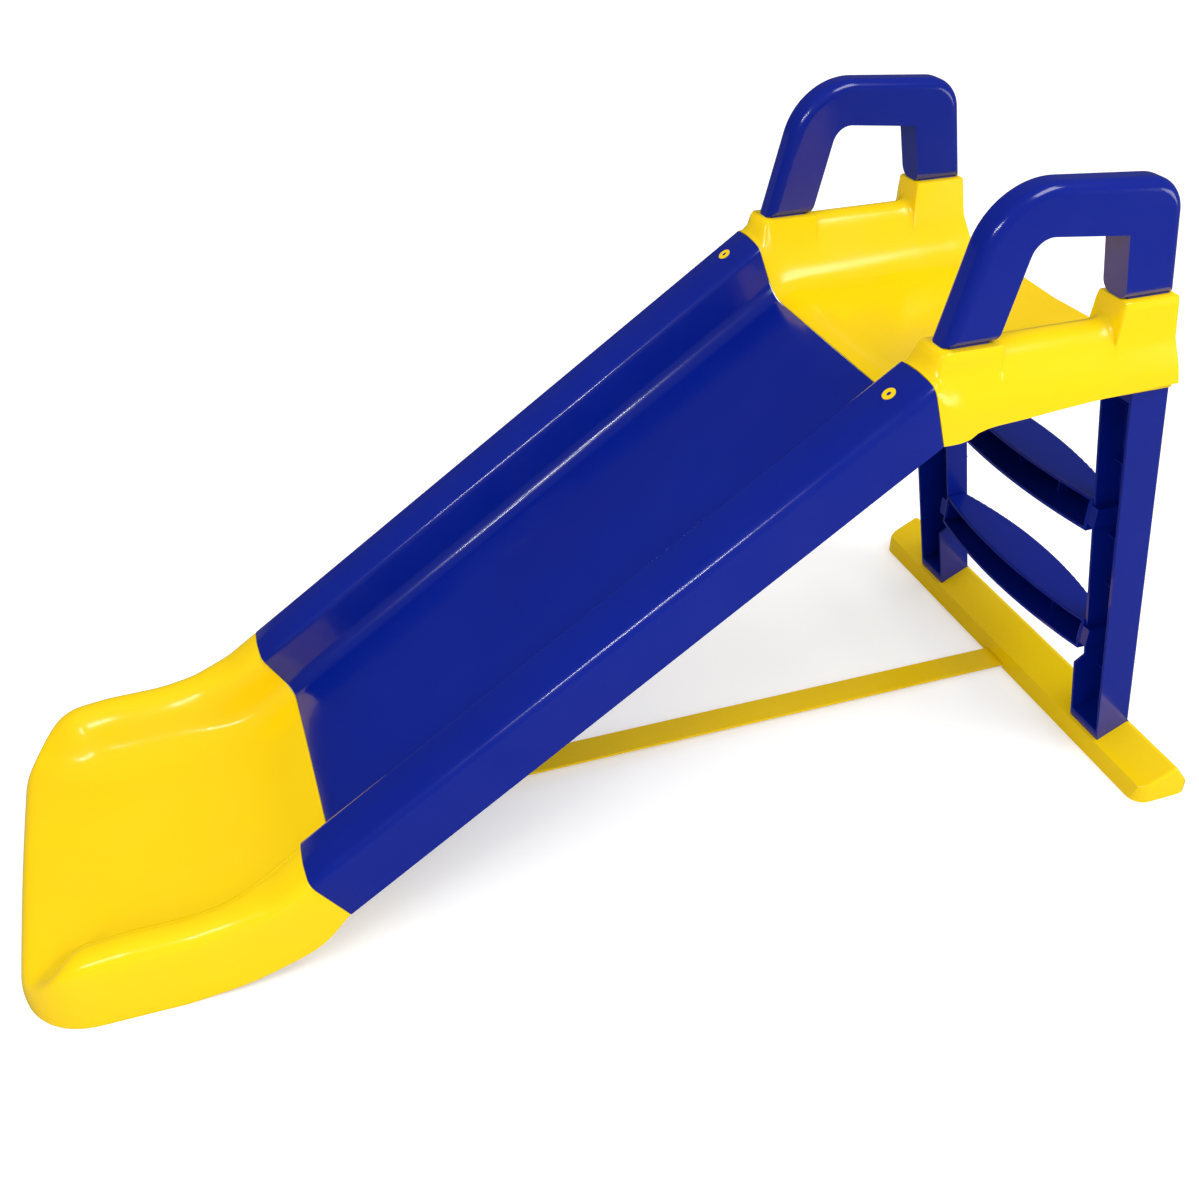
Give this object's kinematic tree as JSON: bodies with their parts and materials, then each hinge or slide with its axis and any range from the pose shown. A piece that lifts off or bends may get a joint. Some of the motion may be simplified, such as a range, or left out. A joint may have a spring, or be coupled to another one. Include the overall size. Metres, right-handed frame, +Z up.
{
  "type": "toddler slide",
  "caption": "Low free-standing straight slide for toddlers: plastic chute with run-out, railed platform with grab handles, leaning ladder on a foot bar, and a floor tie bar.",
  "frame": {"origin": "on the floor, at the centre of the underside of the ladder's foot bar", "axes": "+Z up; -X down the slide, from the ladder towards the run-out; Y across the slide, which is symmetric about the plane Y = 0; a child sitting to slide faces -X, with -Y on the left"},
  "size_m": [1.409, 0.636, 0.7812],
  "materials": {
    "blue_plastic": "glossy moulded polyethylene",
    "yellow_plastic": "glossy moulded polyethylene",
    "screw_steel": "zinc-plated steel"
  },
  "bodies": {
    "root": {"slide_chute": "blue_plastic", "run_out": "yellow_plastic", "platform": "yellow_plastic", "handle_left": "blue_plastic", "handle_right": "blue_plastic", "ladder_upright_left": "blue_plastic", "ladder_upright_right": "blue_plastic", "lower_step": "blue_plastic", "upper_step": "blue_plastic", "ladder_foot": "yellow_plastic", "tie_bar": "yellow_plastic", "chute_lock_bolts": "yellow_plastic", "chute_lock_nuts": "yellow_plastic", "run_out_screws": "screw_steel", "platform_screws": "screw_steel", "handle_screws": "screw_steel", "upright_screws": "screw_steel", "foot_screws": "screw_steel", "tie_bar_screws": "screw_steel"}
  },
  "joints": []
}
